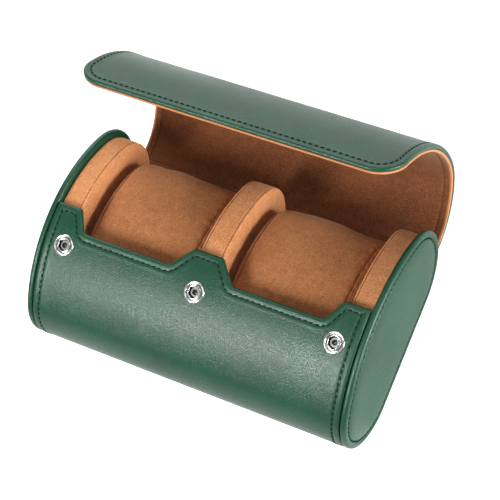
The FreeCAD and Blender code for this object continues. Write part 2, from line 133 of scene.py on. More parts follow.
def trace(arcs, s):
    """Points and outward normals in YZ at the distances s along a run. On an arc the angle is
    its start's plus the distance into the arc over the radius. Each arc holds from its start on,
    so a later one writes over an earlier one."""
    s = np.asarray(s, float)
    point = np.zeros(s.shape + (2,))
    normal = np.zeros(s.shape + (2,))
    start = 0.0
    last = None
    for arc in arcs:
        first = arc_point(arc, arc[3])
        if last is not None and np.linalg.norm(first - last) > 1e-3 * MM:
            gap = np.linalg.norm(first - last)
            on = (s >= start)[..., None]
            share = ((s - start) / gap)[..., None]
            point = np.where(on, last + share * (first - last), point)
            normal = np.where(on, (-math.sin(arc[3]), math.cos(arc[3])), normal)
            start += gap
        angle = arc[3] + (s - start) / arc[2]
        out = np.stack([-np.sin(angle), np.cos(angle)], -1)
        on = ((s >= start) | (last is None))[..., None]
        point = np.where(on, np.array(arc[:2]) + arc[2] * out, point)
        normal = np.where(on, out, normal)
        start += arc[2] * (arc[4] - arc[3])
        last = arc_point(arc, arc[4])
    return point, normal


def rounded(corners, radii, steps=7):
    """A line through corners with each one rounded: the arc starts its radius times the tangent
    of half the turn before the corner, and its middle lies on the turn's bisector."""
    corners = [np.array(c, float) for c in corners]
    points = [corners[0]]
    for before, corner, after, radius in zip(corners[:-2], corners[1:-1], corners[2:], radii):
        come = (corner - before) / np.linalg.norm(corner - before)
        go = (after - corner) / np.linalg.norm(after - corner)
        turn = math.acos(max(-1.0, min(1.0, float(come @ go))))
        side = math.copysign(1.0, come[0] * go[1] - come[1] * go[0])
        start = corner - come * radius * math.tan(turn / 2)
        centre = start + side * radius * np.array([-come[1], come[0]])
        arm = start - centre
        for angle in side * np.linspace(0, turn, steps):
            c, s = math.cos(angle), math.sin(angle)
            points.append(centre + np.array([c * arm[0] - s * arm[1], s * arm[0] + c * arm[1]]))
    points.append(corners[-1])
    return np.array(points)


def shifted(corners, inset):
    """The corners of a line moved to its right by an inset: each lies where the moved sides
    meet, on the bisector, at the inset over the cosine of half the turn."""
    corners = [np.array(c, float) for c in corners]
    sides = [(b - a) / np.linalg.norm(b - a) for a, b in zip(corners[:-1], corners[1:])]
    rights = [np.array([d[1], -d[0]]) for d in sides]
    moved = [corners[0] + inset * rights[0]]
    for corner, a, b in zip(corners[1:-1], rights[:-1], rights[1:]):
        moved.append(corner + inset * (a + b) / (1 + float(a @ b)))
    moved.append(corners[-1] + inset * rights[-1])
    return moved


def outline_distance(points, outline):
    """Shortest distance from each point to a closed outline, side by side. The nearest place on
    a side is at the share (point less start) dot side over side dot side, kept between its
    ends."""
    best = np.full(len(points), 1.0)
    for a, b in zip(outline, np.roll(outline, -1, axis=0)):
        side = b - a
        length = float(side @ side)
        if length > 0:
            share = np.clip((points - a) @ side / length, 0, 1)
            gap = points - a - share[:, None] * side
            best = np.minimum(best, np.einsum("ij,ij->i", gap, gap) ** 0.5)
    return best


def new_piece(name, points, faces):
    """A smooth mesh object from arrays, turned outwards by the sign of its volume, the sum of
    a dot (b cross c) over its triangles."""
    faces = [np.asarray(f) for f in faces if len(f)]
    tris = np.concatenate([np.concatenate([f[:, [0, i, i + 1]] for i in range(1, f.shape[1] - 1)])
                           for f in faces])
    a, b, c = (points[tris[:, i]] for i in range(3))
    if np.einsum("ij,ij->i", a, np.cross(b, c)).sum() < 0:
        faces = [f[:, ::-1] for f in faces]
    mesh = bpy.data.meshes.new(name)
    mesh.from_pydata(points.tolist(), [], [row for f in faces for row in f.tolist()])
    mesh.polygons.foreach_set("use_smooth", np.ones(len(mesh.polygons), bool))
    mesh.update()
    piece = bpy.data.objects.new(name, mesh)
    bpy.context.scene.collection.objects.link(piece)
    return piece


def edge_steps(radius, reach):
    """Distances from an edge: fine ones round its roll, radius times one minus a cosine, then
    even ones as far as the reach."""
    roll = radius * (1 - np.cos(np.linspace(0, math.pi / 2, 7)))
    return np.concatenate([roll, np.arange(radius + FINE_STEP, reach, FINE_STEP)])


def quad_rows(index):
    """Quads between neighbouring rows of a grid of point numbers, each row closed on itself."""
    nxt = np.roll(index, -1, 1)
    return np.stack([index[:-1], nxt[:-1], nxt[1:], index[1:]], -1).reshape(-1, 4)


def mark(piece, name, values):
    """Gives each point of a piece a value that its material reads."""
    piece.data.attributes.new(name, "FLOAT", "POINT").data.foreach_set("value", values)


def panel(name, place, xs, top, bottom, outline, depth, thickness, relief=None, under=None):
    """A sheet between two lines of its flat pattern, top(x) and bottom(x). Both faces are grids
    that share their rim, where each is rolled in by the roll's radius less the square root of
    (radius squared less (radius less distance) squared). Relief raises the outer face and under
    the inner one, and both fade out over the roll."""
    radius = thickness / 2
    fine = edge_steps(radius, EDGE_REACH)
    start, end = top[:, None] + fine, bottom[:, None] - fine[::-1]
    count = int(np.max(end[:, 0] - start[:, -1]) / COARSE_STEP)
    share = np.linspace(0, 1, count + 2)[1:-1]
    middle = start[:, -1:] + share * (end[:, :1] - start[:, -1:])
    s = np.concatenate([start, middle, end], 1)
    x = np.repeat(xs[:, None], s.shape[1], 1)
    distance = outline_distance(np.stack([x.ravel(), s.ravel()], 1), outline).reshape(s.shape)
    rim = np.zeros(s.shape, bool)
    rim[[0, -1], :] = True
    rim[:, [0, -1]] = True
    distance[rim] = 0.0
    near = radius - np.minimum(distance, radius)
    roll = radius - np.sqrt(radius**2 - near**2)
    raised, grown = (0.0 if form is None else form(distance, s) * (1 - roll / radius)
                     for form in (relief, under))
    outer = place(x, s, depth + roll - raised)
    inner = place(x, s, depth + thickness - roll + grown)
    index = np.arange(s.size).reshape(s.shape)
    lower = np.where(rim, index, index + s.size)
    quads = []
    for grid, way in ((index, 1), (lower, -1)):
        ring = [grid[:-1, :-1], grid[1:, :-1], grid[1:, 1:], grid[:-1, 1:]]
        quads.append(np.stack(ring[::way], -1).reshape(-1, 4))
    points = np.concatenate([outer.reshape(-1, 3), inner.reshape(-1, 3)])
    used, compact = np.unique(np.concatenate(quads), return_inverse=True)
    sheet = new_piece(name, points[used], [compact.reshape(-1, 4)])
    mark(sheet, "edge", np.tile(np.clip(CUT_WIDTH - distance.ravel() / MM, 0, 1), 2)[used])
    return sheet


def bell(distance, centre, width):
    """A bell curve of height one: e to the minus square of (distance less centre) over width."""
    return np.exp(-(((distance - centre) / width) ** 2))


def leather_relief(distance, s):
    """Height of a stitched leather border: a channel where the thread pulls the leather in, the
    fold's swell outside it and a soft swell of the board inside it."""
    channel = -0.20 * MM * bell(distance, SEAM_INSET, 0.45 * MM)
    fold = 0.20 * MM * bell(distance, 1.8 * MM, 0.9 * MM)
    field = 0.10 * MM * bell(distance, 5.2 * MM, 0.9 * MM)
    return channel + fold + field


CASE_OVAL = oval(HALF_DEPTH, WAIST, CROWN_RISE, SHOULDER)


def shell_arcs():
    """The run of the shell from the tab tops to the hinge."""
    arcs = CASE_OVAL[:4]
    arcs[0] = (0.0, CROWN_Z, CROWN, -TAB_REACH, arcs[0][4])
    arcs[3] = arcs[3][:3] + (math.pi, math.pi + HINGE_ANGLE - HINGE_HALF)
    return arcs


SHELL_ARCS = shell_arcs()
SHELL_RUN = run_length(SHELL_ARCS)
RECESS_DROP = CROWN * (TAB_REACH + RECESS_REACH)


def on_shell(x, s, depth):
    """The point at x along the case: the shell's run at s, less the depth times the normal
    there. The underside lies flat on the table."""
    point, normal = trace(SHELL_ARCS, s)
    point = point - np.asarray(depth)[..., None] * normal
    point = np.maximum(point, (-1.0, 0.0))
    return np.concatenate([np.asarray(x)[..., None], point], -1)


def shell_corners(inset, half):
    """The corners of the shell's flat pattern, as (x, distance from the tab tops)."""
    right = [(CENTRE_TAB_TOP, 0.0), (CENTRE_TAB_FOOT, RECESS_DROP),
             (half - SIDE_TAB_FOOT, RECESS_DROP), (half - SIDE_TAB_TOP, 0.0), (half, 0.0),
             (half, SHELL_RUN)]
    left = [(-x, s) for x, s in reversed(right)]
    return shifted(left + right, -inset)


def corner_radii(inset):
    """Radii at the pattern's corners: outward ones shrink with the inset, inward ones grow."""
    out = max(TAB_CORNER - inset, LEAST_CORNER)
    square = max(SQUARE_CORNER - inset, LEAST_CORNER)
    into = RECESS_CORNER + inset
    return [square, out, into, into, out, out, into, into, out, square]


def shell_pattern(inset, half):
    """The shell's outline without its hinge edge, as a rounded line."""
    return rounded(shell_corners(inset, half), corner_radii(inset))


def places_across(parts):
    """The places of several parts along X, sorted, without those that nearly coincide."""
    xs = np.unique(np.round(np.concatenate(parts), 6))
    return xs[np.concatenate([[True], np.diff(xs) > LEAST_STEP])]


def shell_lines(outline, half):
    """Places across the shell: fine by the ends and over the tab slopes, coarse elsewhere."""
    fine = edge_steps(SHEET / 2, END_REACH)
    bends = outline[(np.abs(outline[:, 0]) < half - SQUARE_CORNER), 0]
    slopes = [np.arange(a, b, 0.5 * MM) for a, b in (
        (CENTRE_TAB_TOP - TAB_CORNER, CENTRE_TAB_FOOT + RECESS_CORNER),
        (half - SIDE_TAB_FOOT - RECESS_CORNER, half - SIDE_TAB_TOP + TAB_CORNER))]
    even = np.arange(0.0, half - END_REACH, COARSE_STEP)
    right = np.concatenate([even, *slopes, half - fine])
    return places_across([-right, right, bends])


def shell_sheet(name, inset, depth, thickness, relief=None):
    """A sheet of the shell with its edge an inset inside the cover's."""
    half = SHELL_HALF - inset
    line = shell_pattern(inset, SHELL_HALF)
    low = SHELL_RUN - inset
    line = line[line[:, 1] < low]
    outline = np.concatenate([[(-half, low)], line, [(half, low)]])
    xs = shell_lines(line, half)
    order = np.argsort(line[:, 0], kind="stable")
    keep = line[order][line[order][:, 1] < RECESS_DROP + inset + MM]
    top = np.interp(xs, keep[:, 0], keep[:, 1])
    bottom = np.full(len(xs), low)
    return panel(name, on_shell, xs, top, bottom, outline, depth, thickness, relief)


shell_leather = shell_sheet("shell_leather", 0.0, 0.0, SHEET, leather_relief)


def new_group(name, values, outputs):
    """An empty shader group that takes a vector and some values, with the sockets inside it."""
    tree = bpy.data.node_groups.new(name, "ShaderNodeTree")
    tree.interface.new_socket("Vector", in_out="INPUT", socket_type="NodeSocketVector")
    for label, value in values.items():
        socket = tree.interface.new_socket(label, in_out="INPUT", socket_type="NodeSocketFloat")
        socket.default_value = value
    for label in outputs:
        tree.interface.new_socket(label, in_out="OUTPUT", socket_type="NodeSocketFloat")
    return tree, tree.nodes.new("NodeGroupInput").outputs, tree.nodes.new("NodeGroupOutput").inputs


def feed(tree, socket, value):
    """Sets a socket to a value, or links it to another node's output."""
    if isinstance(value, bpy.types.NodeSocket):
        tree.links.new(value, socket)
    else:
        socket.default_value = value


def noise(tree, vector, scale, detail=2.0, rough=0.5):
    """A noise texture on a vector; its scale is a number or another node's output."""
    node = tree.nodes.new("ShaderNodeTexNoise")
    for label, value in (("Detail", detail), ("Roughness", rough), ("Vector", vector),
                         ("Scale", scale)):
        feed(tree, node.inputs[label], value)
    return node.outputs["Fac"]


def maths(tree, operation, a, b):
    """A maths node; each of its two sides is a number or an output."""
    node = tree.nodes.new("ShaderNodeMath")
    node.operation = operation
    feed(tree, node.inputs[0], a)
    feed(tree, node.inputs[1], b)
    return node.outputs[0]


def spread(tree, value, low, high, to_low=0.0, to_high=1.0):
    """A value between two limits spread over two others."""
    node = tree.nodes.new("ShaderNodeMapRange")
    limits = {"From Min": low, "From Max": high, "To Min": to_low, "To Max": to_high}
    for label, limit in limits.items():
        node.inputs[label].default_value = limit
    tree.links.new(value, node.inputs["Value"])
    return node.outputs["Result"]


def grain_group():
    """Fine pebbled grain: cells with soft creases between them, and slow changes of tone."""
    tree, entry, leave = new_group("leather_grain", {"Cells": 1500.0, "Tone Scale": 28.0},
                                   ["Height", "Tone", "Crease"])
    cells = tree.nodes.new("ShaderNodeTexVoronoi")
    cells.feature = "DISTANCE_TO_EDGE"
    tree.links.new(entry["Vector"], cells.inputs["Vector"])
    tree.links.new(entry["Cells"], cells.inputs["Scale"])
    crease = spread(tree, cells.outputs["Distance"], 0.0, 0.22)
    roll = noise(tree, entry["Vector"], maths(tree, "MULTIPLY", entry["Cells"], 0.45), 3.0, 0.6)
    height = maths(tree, "ADD", maths(tree, "MULTIPLY", crease, 0.40), roll)
    tone = noise(tree, entry["Vector"], entry["Tone Scale"], 3.0, 0.55)
    tree.links.new(height, leave["Height"])
    tree.links.new(spread(tree, tone, 0.32, 0.68), leave["Tone"])
    tree.links.new(crease, leave["Crease"])
    return tree


GRAIN = grain_group()


def object_place(tree):
    """The Object coordinates of a material."""
    return tree.nodes.new("ShaderNodeTexCoord").outputs["Object"]


def attribute(tree, name):
    """The value that each point of a piece was marked with."""
    node = tree.nodes.new("ShaderNodeAttribute")
    node.attribute_name = name
    return node.outputs["Fac"]


def place_group(tree, group, **values):
    """A group placed in a material on Object coordinates, with its own values."""
    node = tree.nodes.new("ShaderNodeGroup")
    node.node_tree = group
    tree.links.new(object_place(tree), node.inputs["Vector"])
    for label, value in values.items():
        node.inputs[label.replace("_", " ")].default_value = value
    return node


def blend_colours(tree, factor, dark, light):
    """A colour between two, by a factor; each of the two is a colour or an output."""
    node = tree.nodes.new("ShaderNodeMix")
    node.data_type = "RGBA"
    for socket, colour in ((node.inputs[6], dark), (node.inputs[7], light)):
        feed(tree, socket, (*colour, 1.0) if isinstance(colour, tuple) else colour)
    tree.links.new(factor, node.inputs[0])
    return node.outputs[2]


def new_material(name, **fixed):
    """A material with its Principled shader, and the numbers that are the same all over it."""
    material = bpy.data.materials.new(name)
    material.use_nodes = True
    tree = material.node_tree
    shader = tree.nodes["Principled BSDF"]
    for label, value in fixed.items():
        shader.inputs[label.replace("_", " ")].default_value = value
    return material, tree, shader


def bump(tree, shader, height, strength, distance):
    """A bump from a height, fed to the shader's normal."""
    node = tree.nodes.new("ShaderNodeBump")
    node.inputs["Strength"].default_value = strength
    node.inputs["Distance"].default_value = distance
    tree.links.new(height, node.inputs["Height"])
    tree.links.new(node.outputs["Normal"], shader.inputs["Normal"])


GREEN_DARK = (0.0015, 0.0380, 0.0170)
GREEN_LIGHT = (0.0030, 0.0560, 0.0265)
ROUGH_DARK = 0.30
ROUGH_LIGHT = 0.23
ROUGH_CREASE = 0.08


def leather_material(name, dark, light):
    """Smooth coated leather with a satin face: grain, tone and roughness all from one group."""
    material, tree, shader = new_material(name, Specular_IOR_Level=0.36)
    grain = place_group(tree, GRAIN, Cells=1400.0)
    tone = grain.outputs["Tone"]
    tree.links.new(blend_colours(tree, tone, dark, light), shader.inputs["Base Color"])
    rough = spread(tree, tone, 0.0, 1.0, ROUGH_DARK, ROUGH_LIGHT)
    crease = spread(tree, grain.outputs["Crease"], 0.0, 1.0, ROUGH_CREASE, 0.0)
    tree.links.new(maths(tree, "ADD", rough, crease), shader.inputs["Roughness"])
    bump(tree, shader, grain.outputs["Height"], 0.42, 0.22 * MM)
    return material


def dress(piece, material):
    """Gives a piece one material."""
    piece.data.materials.clear()
    piece.data.materials.append(material)


def outfit(piece, material, body, slot, *nodes):
    """Gives a piece its material and its body, and hides the nodes that it stands for. The slot is
    not used.
    """
    if nodes:
        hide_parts(*nodes)
    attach(piece, body)
    dress(piece, material)


green_leather = leather_material("green_leather", GREEN_DARK, GREEN_LIGHT)
outfit(shell_leather, green_leather, "case", "cover_leather", "shell_cover")

# Thread of the shell's seam: waxed polyester in the leather's own green, a lockstitch sewn about
# four millimetres in from every turned edge, with each stitch lying slightly aslant in its
# channel.
STITCH_PITCH = 3.0 * MM
STITCH_LENGTH = 2.1 * MM
THREAD = 0.62 * MM
THREAD_SIDES = 7
STITCH_SLANT = math.radians(7.0)
SEAM_DEPTH = 0.04 * MM
SEAM_STEP = 0.5 * MM
RUN_SAMPLES = 1500


def lengths_along(points):
    """Distance of each point of a line from its start."""
    steps = np.linalg.norm(np.diff(points, axis=0), axis=1)
    return np.concatenate([[0.0], np.cumsum(steps)])


def resampled(points, pitch):
    """Points at an even pitch along a line, with its direction at each, from an eighth of the
    pitch behind to an eighth ahead."""
    along = lengths_along(points)
    count = int(along[-1] / pitch)
    places = (np.arange(count) + 0.5) * along[-1] / count
    behind, middle, ahead = (
        np.stack([np.interp(places + step, along, points[:, i]) for i in range(3)], 1)
        for step in (-pitch / 8, 0.0, pitch / 8))
    way = ahead - behind
    return middle, way / np.linalg.norm(way, axis=1)[:, None]


def tubes(count, shape, closed=False):
    """Faces of several tubes of (rings, points round) whose points follow one another, with a
    cap at each end of a tube unless it closes on itself."""
    index = np.arange(shape[0] * shape[1]).reshape(shape)
    offset = (np.arange(count) * index.size)[:, None, None]
    rows = np.concatenate([index, index[:1]]) if closed else index
    faces = [(quad_rows(rows) + offset).reshape(-1, 4)]
    if not closed:
        caps = np.stack([index[0, ::-1], index[-1]])
        faces.append((caps + offset).reshape(-1, shape[1]))
    return faces


def stitch_row(name, line, surface, material, body, slot):
    """A row of stitches along a line: each is a short rod of rings, half a thread's width times
    the ring's width share in radius and raised by its lift share, so that it swells in the middle
    and dives at both ends. Surface gives the outward normal at its points."""
    middle, way = resampled(line, STITCH_PITCH)
    normal = surface(middle)
    across = np.cross(normal, way)
    across /= np.linalg.norm(across, axis=1)[:, None]
    c, s = math.cos(STITCH_SLANT), math.sin(STITCH_SLANT)
    way, across = c * way + s * across, c * across - s * way
    along_shares = np.array([-1.0, -0.86, -0.5, 0.0, 0.5, 0.86, 1.0])
    width_shares = np.array([0.35, 0.75, 0.96, 1.0, 0.96, 0.75, 0.35])
    lift_shares = np.array([-1.0, -0.45, 0.0, 0.12, 0.0, -0.45, -1.0])
    turn = np.linspace(0, 2 * math.pi, THREAD_SIDES, endpoint=False)
    half = THREAD / 2
    out = half * (width_shares[:, None] * np.cos(turn) + lift_shares[:, None])
    side = half * width_shares[:, None] * np.sin(turn)
    run = np.repeat(along_shares[:, None] * STITCH_LENGTH / 2, len(turn), 1)
    points = (middle[:, None, None] + run[None, ..., None] * way[:, None, None]
              + out[None, ..., None] * normal[:, None, None]
              + side[None, ..., None] * across[:, None, None])
    points = np.maximum(points, (-1.0, -1.0, 0.0))
    row = new_piece(name, points.reshape(-1, 3), tubes(len(middle), run.shape))
    outfit(row, material, body, slot)


def thread_material(name, dark, light):
    """Twisted thread: a fine change of shade at the twist's size, over a dull colour."""
    material, tree, shader = new_material(name, Specular_IOR_Level=0.10, Roughness=0.8)
    twist = noise(tree, object_place(tree), 4200.0, 1.0)
    colour = blend_colours(tree, spread(tree, twist, 0.35, 0.65), dark, light)
    tree.links.new(colour, shader.inputs["Base Color"])
    bump(tree, shader, twist, 0.4, 0.05 * MM)
    return material


green_thread = thread_material("green_thread", (0.0010, 0.0105, 0.0056), (0.0024, 0.0200, 0.0110))


def nearest_normal(points, ring, out):
    """The normal of a fine run at its place nearest to each point."""
    gap = ((points[:, None, 1:] - ring[None]) ** 2).sum(-1)
    return np.concatenate([np.zeros((len(points), 1)), out[gap.argmin(1)]], 1)


def shell_normal(points):
    """Outward normal of the case's oval section at points on it."""
    run = np.linspace(0, run_length(CASE_OVAL), RUN_SAMPLES)
    return nearest_normal(points, *trace(CASE_OVAL, run))


def seam_line(pattern, place, depth):
    """A seam's line in space from its line in the flat pattern."""
    along = lengths_along(pattern)
    even = np.arange(0, along[-1], SEAM_STEP)
    x, s = (np.interp(even, along, pattern[:, i]) for i in range(2))
    return place(x, s, np.full(len(x), depth))


shell_seam = shell_pattern(SEAM_INSET, SHELL_HALF)
shell_seam[:, 1] = np.minimum(shell_seam[:, 1], SHELL_RUN - MM)
stitch_row("shell_stitches", seam_line(shell_seam, on_shell, SEAM_DEPTH), shell_normal,
           green_thread, "case", "cover_leather")

# Linings: cognac microfibre suede, glued to the inside of the board a little short of the turned
# edge, so that its cut edge shows as a thin tan line. The linings' faces are painted in darker
# browns than the pads' tan, as painted shade for the shaded inside of the lid and the shell.
LINING = 0.8 * MM
LINING_INSET = 0.35 * MM
CUT_EDGE = (0.500, 0.210, 0.088)
TAN_DARK = (0.330, 0.120, 0.042)
TAN_LIGHT = (0.800, 0.370, 0.160)
# Painted shade: browns of the linings' faces, darker than the tan for the shade inside the case
LINING_PAINTED_SHADE_DARK = (0.065, 0.019, 0.0065)
LINING_PAINTED_SHADE_LIGHT = (0.225, 0.078, 0.030)


def nap_group():
    """Suede nap: a fine stand of fibres, brushed patches that lie lighter or darker, and slow
    drifts of tone across a piece."""
    tree, entry, leave = new_group("suede_nap", {}, ["Height", "Tone"])
    fine = noise(tree, entry["Vector"], 1800.0, 3.0, 0.7)
    patches = noise(tree, entry["Vector"], 260.0, 3.0, 0.6)
    drift = noise(tree, entry["Vector"], 30.0, 2.0)
    tone = maths(tree, "MULTIPLY", fine, 1.10)
    for part in (patches, drift):
        tone = maths(tree, "ADD", tone, maths(tree, "MULTIPLY", part, 0.25))
    height = maths(tree, "ADD", fine, maths(tree, "MULTIPLY", patches, 0.4))
    tree.links.new(height, leave["Height"])
    tree.links.new(spread(tree, tone, 0.58, 1.04), leave["Tone"])
    return tree


NAP = nap_group()


def suede_material(name, dark, light):
    """Suede: matt and napped, paler where it is seen along the fibres and at a cut edge."""
    material, tree, shader = new_material(
        name, Roughness=0.95, Specular_IOR_Level=0.15, Sheen_Weight=0.22, Sheen_Roughness=0.45,
        Sheen_Tint=(0.95, 0.72, 0.50, 1.0))
    nap = place_group(tree, NAP)
    colour = blend_colours(tree, nap.outputs["Tone"], dark, light)
    colour = blend_colours(tree, attribute(tree, "edge"), colour, CUT_EDGE)
    tree.links.new(colour, shader.inputs["Base Color"])
    bump(tree, shader, nap.outputs["Height"], 0.55, 0.18 * MM)
    return material


tan_suede = suede_material("tan_suede", TAN_DARK, TAN_LIGHT)
# Painted shade: the linings' suede is darker than the tan suede, for the shade inside the lid and
# the shell
painted_shade_lining_suede = suede_material("painted_shade_lining_suede", LINING_PAINTED_SHADE_DARK, LINING_PAINTED_SHADE_LIGHT)
shell_suede = shell_sheet("shell_suede", LINING_INSET, SHEET, LINING)
outfit(shell_suede, painted_shade_lining_suede, "case", "suede", "shell_lining")

# End caps: leather drawn over a thin pad on an oval board, turned over the rim and sewn round the
# face, so that the rim stands round like piping and the face swells inside the seam.
SECTION_POINTS = 360
FULL_INSET = 20.0 * MM


def closed_rings(body, poles):
    """Points and faces of a closed body of rings, with a fan at each end."""
    count, around = body.shape[:2]
    index = np.arange(count * around).reshape(count, around)
    nxt = np.roll(index, -1, 1)
    first = np.stack([np.full(around, count * around), nxt[0], index[0]], -1)
    final = np.stack([np.full(around, count * around + 1), index[-1], nxt[-1]], -1)
    return np.concatenate([body.reshape(-1, 3), poles]), [quad_rows(index), first, final]


def rings(name, arcs, profile, full_inset, ripple=None, at=0.0, swell=None):
    """A closed body of oval rings. Each ring of the profile, which is smoothed first, is
    (x, inset, share): the section moved in by the inset along its normals, then drawn to its
    middle by the share. The first and last rings close on a point, and the whole is moved along
    X by a distance."""
    s = np.linspace(0, run_length(arcs), SECTION_POINTS, endpoint=False)
    point, normal = trace(arcs, s)
    x, inset, share = smooth_profile(profile).T
    reach = np.minimum(inset, full_inset)[:, None]
    if ripple is not None:
        reach = reach + ripple(x[:, None], s[None])
    ring = point[None] - reach[..., None] * normal[None]
    centre = np.array([0.0, (point[:, 1].max() + point[:, 1].min()) / 2])
    ring = centre + (ring - centre) * share[:, None, None]
    across = np.broadcast_to(x[:, None, None] + at, ring.shape[:2] + (1,))
    body = np.concatenate([across, ring], -1)[1:-1]
    poles = np.array([[x[0] + at, *centre], [x[-1] + at, *centre]])
    if swell is not None:
        body, poles = swell(body, poles)
    return new_piece(name, *closed_rings(body, poles))


def smooth_profile(points, per_step=4):
    """A finer profile through chosen rings, by cubics that pass through each of them with half
    the difference of its two neighbours as the slope."""
    points = np.array(points, float)
    slope = np.zeros_like(points)
    slope[1:-1] = (points[2:] - points[:-2]) / 2
    fine = [points[:1]]
    for i in range(len(points) - 1):
        t = (np.arange(per_step) + 1)[:, None] / per_step
        a, b = points[i], points[i + 1]
        m, n = slope[i], slope[i + 1]
        fine.append((2 * t**3 - 3 * t**2 + 1) * a + (t**3 - 2 * t**2 + t) * m
                    + (3 * t**2 - 2 * t**3) * b + (t**3 - t**2) * n)
    return np.concatenate(fine)


# Rings of a cap as (millimetres out from the shell's end, inset, share if not one), from the
# board side
CAP_RINGS = [
    (0.05, 20.0, 0.0), (0.05, 20.0, 0.5), (0.05, 12.0), (0.05, 4.0), (0.08, 1.7), (0.30, 0.75),
    (0.85, 0.15), (1.60, 0.0), (2.30, 0.05), (2.95, 0.35), (3.38, 0.95), (3.50, 1.65),
    (3.42, 2.35), (3.18, 2.95), (2.92, 3.50), (2.88, 3.80), (3.00, 4.15), (3.35, 4.80),
    (3.72, 5.80), (4.02, 7.40), (4.28, 9.80), (4.46, 13.0), (4.58, 17.0), (4.62, 20.0),
    (4.66, 20.0, 0.72), (4.69, 20.0, 0.45), (4.70, 20.0, 0.2), (4.70, 20.0, 0.0)]


def scaled_rings(points, start, sign):
    """Rings in millimetres from a start, in metres along one way of X. A ring with no share has
    a share of one."""
    points = np.array([(*row, 1.0)[:3] for row in points])
    x = start + points[:, 0] * MM
    return np.stack([sign * x, points[:, 1] * MM, points[:, 2]], 1)


CAP_SEAM_INSET = 3.75 * MM
CAP_SEAM_OUT = 3.08 * MM


def cap_seam(sign):
    """The line of the seam round a cap's face: the section less the inset times its normal."""
    s = np.linspace(0, run_length(CASE_OVAL), SECTION_POINTS * 3)
    point, normal = trace(CASE_OVAL, s)
    ring = point - CAP_SEAM_INSET * normal
    x = np.full((len(ring), 1), sign * (SHELL_HALF + CAP_SEAM_OUT))
    return np.concatenate([x, ring], 1)


def cap_normal(sign):
    """The normal of a cap's face, which looks along X, at any points."""
    return lambda points: np.tile([sign, 0.0, 0.0], (len(points), 1))


for side, sign in (("left", -1.0), ("right", 1.0)):
    profile = scaled_rings(CAP_RINGS, SHELL_HALF, sign)
    cap = rings(side + "_cap_leather", CASE_OVAL, profile, FULL_INSET)
    outfit(cap, green_leather, "case", "cover_leather", side + "_cap_cover", side + "_cap_padding")
    stitch_row(side + "_cap_stitches", cap_seam(sign), cap_normal(sign), green_thread, "case",
               "cover_leather")

# End pads: foam discs in suede, set inside the caps. A band goes round the edge and is sewn to
# the face that looks into the case, with the seam a millimetre or so from the corner.
PAD_CROWN = 0.8 * MM
PAD_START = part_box("right_end_pad")[0].x + PAD_CROWN
PAD_SEAM = 1.4 * MM
PAD_PUCKER = 0.16 * MM
PUCKER_REACH = 2.2 * MM
PAD_RINGS = [
    (11.40, 20.0, 0.0), (11.40, 20.0, 0.5), (11.40, 12.0), (11.40, 5.4), (11.32, 4.2),
    (11.00, 3.72), (10.30, 3.52), (8.60, 3.46), (6.20, 3.44), (3.80, 3.46), (2.30, 3.52),
    (1.66, 3.64), (1.40, 4.14), (1.14, 3.68), (0.72, 3.66), (0.28, 3.96), (0.04, 4.70),
    (-0.06, 6.00), (-0.22, 8.60), (-0.42, 12.0), (-0.58, 16.0), (-0.68, 20.0),
    (-0.76, 20.0, 0.7), (-0.80, 20.0, 0.4), (-0.82, 20.0, 0.15), (-0.82, 20.0, 0.0)]


def pucker(seam, depth, seed):
    """Gathers along a seam and its mirror image: a sum of four waves along the section, with
    lengths of a few millimetres, that dies away from the seam."""
    waves = np.random.default_rng(seed)
    lengths = waves.uniform(3.2, 11.0, 4) * MM
    phases = waves.uniform(0, 2 * math.pi, 4)

    def ripple(x, s):
        wave = sum(np.sin(2 * math.pi * s / length + phase)
                   for length, phase in zip(lengths, phases))
        return depth * wave / 4 * bell(np.abs(x), seam, PUCKER_REACH)

    return ripple


for side, sign, seed in (("left", -1.0, 3), ("right", 1.0, 4)):
    profile = scaled_rings(PAD_RINGS, PAD_START, sign)
    ripple = pucker(PAD_START + PAD_SEAM, PAD_PUCKER, seed)
    pad = rings(side + "_end_cushion", CASE_OVAL, profile, FULL_INSET, ripple)
    outfit(pad, tan_suede, "case", "suede", side + "_end_pad", side + "_pad_foam")

# Centre divider: foam on both sides of a board, in a suede cover that is sewn as the end pads'
# is, with a face and a seam to both sides. It is glued across the middle of the shell.
DIVIDER_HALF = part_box("centre_divider")[1].x - PAD_CROWN
DIVIDER_SIDE = [
    (0.72, 20.0, 0.0), (0.72, 20.0, 0.2), (0.70, 20.0, 0.5), (0.64, 20.0, 0.8), (0.56, 20.0),
    (0.46, 16.0), (0.34, 12.0), (0.18, 8.6), (0.06, 6.0), (-0.04, 4.70), (-0.28, 3.98),
    (-0.72, 3.66), (-1.14, 3.68), (-1.40, 4.14), (-1.66, 3.64), (-2.30, 3.52), (-3.80, 3.46)]
DIVIDER_MIDDLE = (-6.5, 3.44)


def both_sides(side_rings, middle, half):
    """A profile from its right half and its middle, with the left half its mirror image."""
    right = scaled_rings(side_rings, half, 1.0)
    left = right[::-1] * np.array([-1.0, 1.0, 1.0])
    return np.concatenate([right, scaled_rings([middle], half, 1.0), left])


profile = both_sides(DIVIDER_SIDE, DIVIDER_MIDDLE, DIVIDER_HALF)
divider = rings("divider_cushion", CASE_OVAL, profile, FULL_INSET,
                pucker(DIVIDER_HALF - PAD_SEAM, PAD_PUCKER, 5))
outfit(divider, tan_suede, "case", "suede", "centre_divider")

